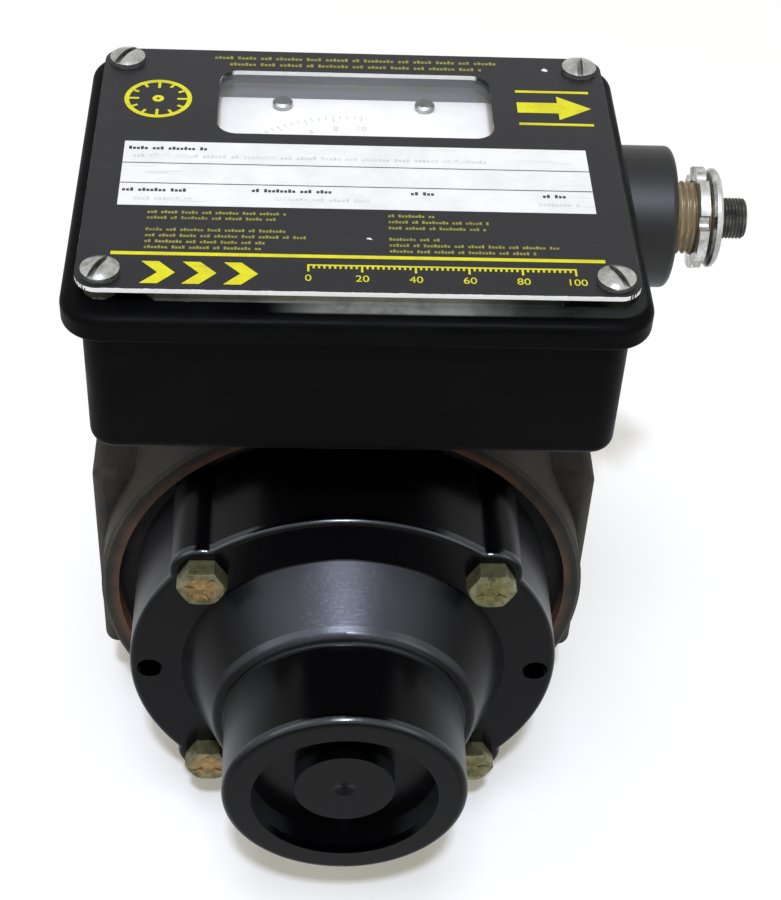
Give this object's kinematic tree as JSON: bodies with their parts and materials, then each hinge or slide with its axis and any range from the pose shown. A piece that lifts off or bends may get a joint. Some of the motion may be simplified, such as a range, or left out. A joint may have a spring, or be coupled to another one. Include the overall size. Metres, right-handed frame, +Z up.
{
  "type": "flow monitor",
  "caption": "Piston flow monitor: cast body with a threaded port at each side, a round bolted bonnet, and a control box above with a scale window and a side receptacle.",
  "frame": {"origin": "on the flat base, below the middle of the lid plate", "axes": "+Z up, +X towards the outlet port, -Y towards the bonnet"},
  "size_m": [0.1928, 0.1775, 0.2278],
  "materials": {
    "body_iron": "bare casting with a thin film of rust",
    "bonnet_black": "black satin-gloss paint",
    "box_black": "black satin-gloss paint",
    "plate_print": "dark printed plate with bare edges",
    "chrome": "polished",
    "zinc_yellow": "worn yellow zinc",
    "steel": "machined",
    "brass": "machined",
    "connector_grey": "dark grey metal",
    "seal_rubber": "matt",
    "clear": "clear",
    "scale_white": "white enamel with black marks",
    "dark_plastic": "moulded"
  },
  "bodies": {
    "housing": {"bonnet": "bonnet_black", "bonnet_bolts": "zinc_yellow", "bonnet_gasket": "seal_rubber", "box_gasket": "seal_rubber", "box_screws": "steel", "contact_pins": "brass", "control_box": "box_black", "flow_body": "body_iron", "gland_nut": "brass", "lid_gasket": "seal_rubber", "lid_screws": "chrome", "limit_switch": "dark_plastic", "lock_nut": "chrome", "nameplate": "plate_print", "piston_spring": "steel", "receptacle_collar": "chrome", "receptacle_insert": "dark_plastic", "receptacle_shell": "connector_grey", "scale_plate": "scale_white", "scale_posts": "brass", "scale_screws": "steel", "seat_ring": "brass", "shaft_bushing": "brass", "shaft_seal": "seal_rubber", "stem_bushing": "brass", "switch_bracket": "steel", "switch_screws": "steel", "terminal_block": "dark_plastic", "terminal_screws": "steel", "window_pane": "clear"},
    "piston": {"piston": "brass"},
    "lever": {"lever_shaft": "steel", "crank_arm": "steel", "crank_pin": "steel", "pointer": "steel", "switch_cam": "steel"},
    "switch_arm": {"switch_lever": "steel"},
    "switch_button": {"switch_plunger": "dark_plastic"}
  },
  "joints": [
    {"name": "piston_slide", "type": "slide", "parent": "housing", "child": "piston", "axis": [0, -1, 0], "range_m": [0, 0.018], "stiffness_N_per_m": 900, "springref_m": -0.01, "deforming": ["piston_spring"]},
    {"name": "shaft_turn", "type": "hinge", "parent": "housing", "child": "lever", "pos_m": [0, -0.0039, 0.15], "axis": [0, 0, 1], "range_deg": [-60.5, 0]},
    {"name": "switch_lever_hinge", "type": "hinge", "parent": "housing", "child": "switch_arm", "pos_m": [-0.02002, -0.0239, 0.19565], "axis": [0, 0, 1], "range_deg": [0, 5], "stiffness_Nm_per_rad": 0.03, "springref_deg": -5.73},
    {"name": "switch_plunger_slide", "type": "slide", "parent": "housing", "child": "switch_button", "axis": [-1, 0, 0], "range_m": [0, 0.00055]}
  ],
  "couplings": [
    {"joint": "shaft_turn", "follows": "piston_slide", "rad_per_m": -58.178},
    {"joint": "switch_plunger_slide", "follows": "switch_lever_hinge", "m_per_rad": 0.006}
  ]
}
